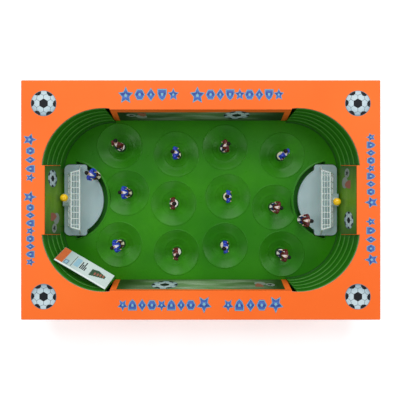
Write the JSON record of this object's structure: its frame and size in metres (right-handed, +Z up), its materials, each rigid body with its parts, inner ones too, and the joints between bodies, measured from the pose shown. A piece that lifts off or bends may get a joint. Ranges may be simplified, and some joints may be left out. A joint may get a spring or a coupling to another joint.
{
  "type": "tabletop football game",
  "caption": "Spring-player table football: a windowed carton around a moulded pitch with dished stations, lever-worked goalkeepers, and figures that bend and turn on springs.",
  "frame": {"origin": "centre of the carton's underside", "axes": "+X along the pitch towards the red goalkeeper's goal, +Y across the pitch, +Z up"},
  "size_m": [0.54, 0.36, 0.08],
  "materials": {
    "printed_card": "gloss-varnished print",
    "plain_card": "raw",
    "pitch_green": "satin",
    "pale_plastic": "satin",
    "white_plastic": "satin",
    "yellow_plastic": "gloss",
    "zinc_steel": "zinc plated",
    "spring_steel": "bright drawn wire",
    "red_figure": "painted",
    "blue_figure": "painted",
    "paper": "matt"
  },
  "bodies": {
    "table": {"outer_carton": "printed_card", "carton_base": "plain_card", "pitch_riser": "plain_card", "pitch_moulding": "pitch_green", "spring_sockets": "pitch_green", "goal_plate_left": "pale_plastic", "goal_plate_right": "pale_plastic", "goal_net_left": "white_plastic", "goal_net_right": "white_plastic", "goal_plate_screws": "zinc_steel", "lever_pivot_screws": "zinc_steel"},
    "goalie_lever_left": {"goalie_lever_left": "white_plastic", "lever_knob_left": "yellow_plastic", "goalie_left": "blue_figure"},
    "goalie_lever_right": {"goalie_lever_right": "white_plastic", "lever_knob_right": "yellow_plastic", "goalie_right": "red_figure"},
    "spring_red_1": {"spring_red_1": "spring_steel"},
    "player_red_1": {"player_red_1": "red_figure"},
    "spring_blue_1": {"spring_blue_1": "spring_steel"},
    "player_blue_1": {"player_blue_1": "blue_figure"},
    "spring_blue_2": {"spring_blue_2": "spring_steel"},
    "player_blue_2": {"player_blue_2": "blue_figure"},
    "spring_red_2": {"spring_red_2": "spring_steel"},
    "player_red_2": {"player_red_2": "red_figure"},
    "spring_blue_3": {"spring_blue_3": "spring_steel"},
    "player_blue_3": {"player_blue_3": "blue_figure"},
    "spring_red_3": {"spring_red_3": "spring_steel"},
    "player_red_3": {"player_red_3": "red_figure"},
    "spring_red_4": {"spring_red_4": "spring_steel"},
    "player_red_4": {"player_red_4": "red_figure"},
    "spring_blue_4": {"spring_blue_4": "spring_steel"},
    "player_blue_4": {"player_blue_4": "blue_figure"},
    "spring_red_5": {"spring_red_5": "spring_steel"},
    "player_red_5": {"player_red_5": "red_figure"},
    "spring_blue_5": {"spring_blue_5": "spring_steel"},
    "player_blue_5": {"player_blue_5": "blue_figure"},
    "spring_blue_6": {"spring_blue_6": "spring_steel"},
    "player_blue_6": {"player_blue_6": "blue_figure"},
    "spring_red_6": {"spring_red_6": "spring_steel"},
    "player_red_6": {"player_red_6": "red_figure"},
    "leaflet": {"leaflet": "paper"}
  },
  "joints": [
    {"name": "goalie_swing_left", "type": "hinge", "parent": "table", "child": "goalie_lever_left", "pos_m": [-0.225, 0, 0.011], "axis": [0, 0, 1], "range_deg": [-86, 6]},
    {"name": "goalie_swing_right", "type": "hinge", "parent": "table", "child": "goalie_lever_right", "pos_m": [0.225, 0, 0.011], "axis": [0, 0, 1], "range_deg": [-77.5, 14.5]},
    {"name": "turn_red_1", "type": "hinge", "parent": "table", "child": "spring_red_1", "pos_m": [-0.1381, 0.0917, 0.0115], "axis": [0, 0, 1], "continuous": true},
    {"name": "tilt_red_1", "type": "hinge", "parent": "spring_red_1", "child": "player_red_1", "pos_m": [-0.1381, 0.0917, 0.0115], "axis": [0.9511, -0.309, 0], "range_deg": [-35, 35], "stiffness_Nm_per_rad": 0.03, "deforming": ["spring_red_1"]},
    {"name": "turn_blue_1", "type": "hinge", "parent": "table", "child": "spring_blue_1", "pos_m": [-0.0414, 0.0779, 0.0115], "axis": [0, 0, 1], "continuous": true},
    {"name": "tilt_blue_1", "type": "hinge", "parent": "spring_blue_1", "child": "player_blue_1", "pos_m": [-0.0414, 0.0779, 0.0115], "axis": [0, 1, 0], "range_deg": [-35, 35], "stiffness_Nm_per_rad": 0.03, "deforming": ["spring_blue_1"]},
    {"name": "turn_blue_2", "type": "hinge", "parent": "table", "child": "spring_blue_2", "pos_m": [-0.1259, 0.0122, 0.0115], "axis": [0, 0, 1], "continuous": true},
    {"name": "tilt_blue_2", "type": "hinge", "parent": "spring_blue_2", "child": "player_blue_2", "pos_m": [-0.1259, 0.0122, 0.0115], "axis": [0, 1, 0], "range_deg": [-35, 35], "stiffness_Nm_per_rad": 0.03, "deforming": ["spring_blue_2"]},
    {"name": "turn_red_2", "type": "hinge", "parent": "table", "child": "spring_red_2", "pos_m": [-0.0462, -0.0058, 0.0115], "axis": [0, 0, 1], "continuous": true},
    {"name": "tilt_red_2", "type": "hinge", "parent": "spring_red_2", "child": "player_red_2", "pos_m": [-0.0462, -0.0058, 0.0115], "axis": [0, -1, 0], "range_deg": [-35, 35], "stiffness_Nm_per_rad": 0.03, "deforming": ["spring_red_2"]},
    {"name": "turn_blue_3", "type": "hinge", "parent": "table", "child": "spring_blue_3", "pos_m": [-0.1388, -0.0759, 0.0115], "axis": [0, 0, 1], "continuous": true},
    {"name": "tilt_blue_3", "type": "hinge", "parent": "spring_blue_3", "child": "player_blue_3", "pos_m": [-0.1388, -0.0759, 0.0115], "axis": [-0.2924, 0.9563, 0], "range_deg": [-35, 35], "stiffness_Nm_per_rad": 0.03, "deforming": ["spring_blue_3"]},
    {"name": "turn_red_3", "type": "hinge", "parent": "table", "child": "spring_red_3", "pos_m": [-0.0411, -0.0895, 0.0115], "axis": [0, 0, 1], "continuous": true},
    {"name": "tilt_red_3", "type": "hinge", "parent": "spring_red_3", "child": "player_red_3", "pos_m": [-0.0411, -0.0895, 0.0115], "axis": [0, -1, 0], "range_deg": [-35, 35], "stiffness_Nm_per_rad": 0.03, "deforming": ["spring_red_3"]},
    {"name": "turn_red_4", "type": "hinge", "parent": "table", "child": "spring_red_4", "pos_m": [0.1381, -0.0917, 0.0115], "axis": [0, 0, 1], "continuous": true},
    {"name": "tilt_red_4", "type": "hinge", "parent": "spring_red_4", "child": "player_red_4", "pos_m": [0.1381, -0.0917, 0.0115], "axis": [-0.1392, -0.9903, 0], "range_deg": [-35, 35], "stiffness_Nm_per_rad": 0.03, "deforming": ["spring_red_4"]},
    {"name": "turn_blue_4", "type": "hinge", "parent": "table", "child": "spring_blue_4", "pos_m": [0.0414, -0.0779, 0.0115], "axis": [0, 0, 1], "continuous": true},
    {"name": "tilt_blue_4", "type": "hinge", "parent": "spring_blue_4", "child": "player_blue_4", "pos_m": [0.0414, -0.0779, 0.0115], "axis": [-0.0872, 0.9962, 0], "range_deg": [-35, 35], "stiffness_Nm_per_rad": 0.03, "deforming": ["spring_blue_4"]},
    {"name": "turn_red_5", "type": "hinge", "parent": "table", "child": "spring_red_5", "pos_m": [0.1259, -0.0122, 0.0115], "axis": [0, 0, 1], "continuous": true},
    {"name": "tilt_red_5", "type": "hinge", "parent": "spring_red_5", "child": "player_red_5", "pos_m": [0.1259, -0.0122, 0.0115], "axis": [-0.2079, -0.9781, 0], "range_deg": [-35, 35], "stiffness_Nm_per_rad": 0.03, "deforming": ["spring_red_5"]},
    {"name": "turn_blue_5", "type": "hinge", "parent": "table", "child": "spring_blue_5", "pos_m": [0.0462, 0.0058, 0.0115], "axis": [0, 0, 1], "continuous": true},
    {"name": "tilt_blue_5", "type": "hinge", "parent": "spring_blue_5", "child": "player_blue_5", "pos_m": [0.0462, 0.0058, 0.0115], "axis": [0, 1, 0], "range_deg": [-35, 35], "stiffness_Nm_per_rad": 0.03, "deforming": ["spring_blue_5"]},
    {"name": "turn_blue_6", "type": "hinge", "parent": "table", "child": "spring_blue_6", "pos_m": [0.1388, 0.0759, 0.0115], "axis": [0, 0, 1], "continuous": true},
    {"name": "tilt_blue_6", "type": "hinge", "parent": "spring_blue_6", "child": "player_blue_6", "pos_m": [0.1388, 0.0759, 0.0115], "axis": [0.766, 0.6428, 0], "range_deg": [-35, 35], "stiffness_Nm_per_rad": 0.03, "deforming": ["spring_blue_6"]},
    {"name": "turn_red_6", "type": "hinge", "parent": "table", "child": "spring_red_6", "pos_m": [0.0411, 0.0895, 0.0115], "axis": [0, 0, 1], "continuous": true},
    {"name": "tilt_red_6", "type": "hinge", "parent": "spring_red_6", "child": "player_red_6", "pos_m": [0.0411, 0.0895, 0.0115], "axis": [0.2588, -0.9659, 0], "range_deg": [-35, 35], "stiffness_Nm_per_rad": 0.03, "deforming": ["spring_red_6"]},
    {"name": "leaflet_lift", "type": "slide", "parent": "table", "child": "leaflet", "axis": [0, 0, 1], "range_m": [0, 0.06]}
  ]
}
